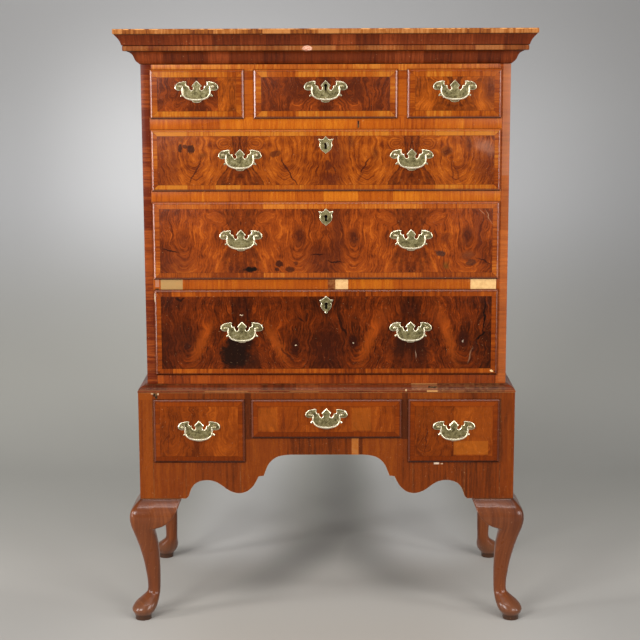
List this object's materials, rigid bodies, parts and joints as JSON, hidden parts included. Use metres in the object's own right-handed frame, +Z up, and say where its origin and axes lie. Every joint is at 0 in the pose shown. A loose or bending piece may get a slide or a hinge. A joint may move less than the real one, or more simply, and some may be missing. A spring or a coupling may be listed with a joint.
{
  "type": "chest of drawers on stand",
  "caption": "Tall walnut chest of drawers on a separate stand with cabriole legs, shaped apron, moulded cornice and brass drop handles.",
  "frame": {"origin": "on the floor, under the middle of the bounding box", "axes": "+Z up, +Y towards the back, +X to the right of someone facing the drawers"},
  "size_m": [1.06, 0.5818, 1.55],
  "materials": {
    "figured_walnut": "book-matched figured walnut veneer, old glossy polish",
    "cross_grain_walnut": "cross-grain walnut in short lengths, old glossy polish",
    "solid_walnut": "solid walnut, polished",
    "oak": "plain oak, unfinished, aged",
    "brass": "cast brass, worn, soft shine"
  },
  "bodies": {
    "carcase": {"cornice": "cross_grain_walnut", "case_top": "cross_grain_walnut", "case_bottom": "cross_grain_walnut", "case_side_left": "figured_walnut", "case_side_right": "figured_walnut", "case_back": "oak", "short_drawer_rail": "cross_grain_walnut", "long_rail_upper": "cross_grain_walnut", "long_rail_lower": "cross_grain_walnut", "waist_moulding": "cross_grain_walnut", "stand_front": "cross_grain_walnut", "stand_side_left": "figured_walnut", "stand_side_right": "figured_walnut", "stand_back": "oak", "leg_front_left": "solid_walnut", "leg_front_right": "solid_walnut", "leg_rear_left": "solid_walnut", "leg_rear_right": "solid_walnut"},
    "short_drawer_left": {"short_drawer_left_front": "figured_walnut", "short_drawer_left_box": "oak", "short_drawer_left_plate": "brass"},
    "short_drawer_left_bail": {"short_drawer_left_bail": "brass"},
    "short_drawer_centre": {"short_drawer_centre_front": "figured_walnut", "short_drawer_centre_box": "oak", "short_drawer_centre_plate": "brass"},
    "short_drawer_centre_bail": {"short_drawer_centre_bail": "brass"},
    "short_drawer_right": {"short_drawer_right_front": "figured_walnut", "short_drawer_right_box": "oak", "short_drawer_right_plate": "brass"},
    "short_drawer_right_bail": {"short_drawer_right_bail": "brass"},
    "long_drawer_upper": {"long_drawer_upper_front": "figured_walnut", "long_drawer_upper_box": "oak", "long_drawer_upper_plate_left": "brass", "long_drawer_upper_plate_right": "brass"},
    "long_drawer_upper_bail_left": {"long_drawer_upper_bail_left": "brass"},
    "long_drawer_upper_bail_right": {"long_drawer_upper_bail_right": "brass"},
    "long_drawer_middle": {"long_drawer_middle_front": "figured_walnut", "long_drawer_middle_box": "oak", "long_drawer_middle_plate_left": "brass", "long_drawer_middle_plate_right": "brass"},
    "long_drawer_middle_bail_left": {"long_drawer_middle_bail_left": "brass"},
    "long_drawer_middle_bail_right": {"long_drawer_middle_bail_right": "brass"},
    "long_drawer_lower": {"long_drawer_lower_front": "figured_walnut", "long_drawer_lower_box": "oak", "long_drawer_lower_plate_left": "brass", "long_drawer_lower_plate_right": "brass"},
    "long_drawer_lower_bail_left": {"long_drawer_lower_bail_left": "brass"},
    "long_drawer_lower_bail_right": {"long_drawer_lower_bail_right": "brass"},
    "stand_drawer_left": {"stand_drawer_left_front": "figured_walnut", "stand_drawer_left_box": "oak", "stand_drawer_left_plate": "brass"},
    "stand_drawer_left_bail": {"stand_drawer_left_bail": "brass"},
    "stand_drawer_centre": {"stand_drawer_centre_front": "figured_walnut", "stand_drawer_centre_box": "oak", "stand_drawer_centre_plate": "brass"},
    "stand_drawer_centre_bail": {"stand_drawer_centre_bail": "brass"},
    "stand_drawer_right": {"stand_drawer_right_front": "figured_walnut", "stand_drawer_right_box": "oak", "stand_drawer_right_plate": "brass"},
    "stand_drawer_right_bail": {"stand_drawer_right_bail": "brass"}
  },
  "joints": [
    {"name": "short_drawer_left_slide", "type": "slide", "parent": "carcase", "child": "short_drawer_left", "axis": [0, -1, 0], "range_m": [0, 0.34]},
    {"name": "short_drawer_left_bail_pivot", "type": "hinge", "parent": "short_drawer_left", "child": "short_drawer_left_bail", "pos_m": [-0.32675, -0.25346, 1.408], "axis": [-1, 0, 0], "range_deg": [0, 110]},
    {"name": "short_drawer_centre_slide", "type": "slide", "parent": "carcase", "child": "short_drawer_centre", "axis": [0, -1, 0], "range_m": [0, 0.34]},
    {"name": "short_drawer_centre_bail_pivot", "type": "hinge", "parent": "short_drawer_centre", "child": "short_drawer_centre_bail", "pos_m": [0, -0.25346, 1.408], "axis": [-1, 0, 0], "range_deg": [0, 110]},
    {"name": "short_drawer_right_slide", "type": "slide", "parent": "carcase", "child": "short_drawer_right", "axis": [0, -1, 0], "range_m": [0, 0.34]},
    {"name": "short_drawer_right_bail_pivot", "type": "hinge", "parent": "short_drawer_right", "child": "short_drawer_right_bail", "pos_m": [0.32675, -0.25346, 1.408], "axis": [-1, 0, 0], "range_deg": [0, 110]},
    {"name": "long_drawer_upper_slide", "type": "slide", "parent": "carcase", "child": "long_drawer_upper", "axis": [0, -1, 0], "range_m": [0, 0.34]},
    {"name": "long_drawer_upper_bail_left_pivot", "type": "hinge", "parent": "long_drawer_upper", "child": "long_drawer_upper_bail_left", "pos_m": [-0.219, -0.25346, 1.23525], "axis": [-1, 0, 0], "range_deg": [0, 110]},
    {"name": "long_drawer_upper_bail_right_pivot", "type": "hinge", "parent": "long_drawer_upper", "child": "long_drawer_upper_bail_right", "pos_m": [0.219, -0.25346, 1.23525], "axis": [-1, 0, 0], "range_deg": [0, 110]},
    {"name": "long_drawer_middle_slide", "type": "slide", "parent": "carcase", "child": "long_drawer_middle", "axis": [0, -1, 0], "range_m": [0, 0.34]},
    {"name": "long_drawer_middle_bail_left_pivot", "type": "hinge", "parent": "long_drawer_middle", "child": "long_drawer_middle_bail_left", "pos_m": [-0.219, -0.25346, 1.029], "axis": [-1, 0, 0], "range_deg": [0, 110]},
    {"name": "long_drawer_middle_bail_right_pivot", "type": "hinge", "parent": "long_drawer_middle", "child": "long_drawer_middle_bail_right", "pos_m": [0.219, -0.25346, 1.029], "axis": [-1, 0, 0], "range_deg": [0, 110]},
    {"name": "long_drawer_lower_slide", "type": "slide", "parent": "carcase", "child": "long_drawer_lower", "axis": [0, -1, 0], "range_m": [0, 0.34]},
    {"name": "long_drawer_lower_bail_left_pivot", "type": "hinge", "parent": "long_drawer_lower", "child": "long_drawer_lower_bail_left", "pos_m": [-0.219, -0.25346, 0.78875], "axis": [-1, 0, 0], "range_deg": [0, 110]},
    {"name": "long_drawer_lower_bail_right_pivot", "type": "hinge", "parent": "long_drawer_lower", "child": "long_drawer_lower_bail_right", "pos_m": [0.219, -0.25346, 0.78875], "axis": [-1, 0, 0], "range_deg": [0, 110]},
    {"name": "stand_drawer_left_slide", "type": "slide", "parent": "carcase", "child": "stand_drawer_left", "axis": [0, -1, 0], "range_m": [0, 0.34]},
    {"name": "stand_drawer_left_bail_pivot", "type": "hinge", "parent": "stand_drawer_left", "child": "stand_drawer_left_bail", "pos_m": [-0.333, -0.27646, 0.5305], "axis": [-1, 0, 0], "range_deg": [0, 110]},
    {"name": "stand_drawer_centre_slide", "type": "slide", "parent": "carcase", "child": "stand_drawer_centre", "axis": [0, -1, 0], "range_m": [0, 0.34]},
    {"name": "stand_drawer_centre_bail_pivot", "type": "hinge", "parent": "stand_drawer_centre", "child": "stand_drawer_centre_bail", "pos_m": [0, -0.27646, 0.563], "axis": [-1, 0, 0], "range_deg": [0, 110]},
    {"name": "stand_drawer_right_slide", "type": "slide", "parent": "carcase", "child": "stand_drawer_right", "axis": [0, -1, 0], "range_m": [0, 0.34]},
    {"name": "stand_drawer_right_bail_pivot", "type": "hinge", "parent": "stand_drawer_right", "child": "stand_drawer_right_bail", "pos_m": [0.333, -0.27646, 0.5305], "axis": [-1, 0, 0], "range_deg": [0, 110]}
  ]
}
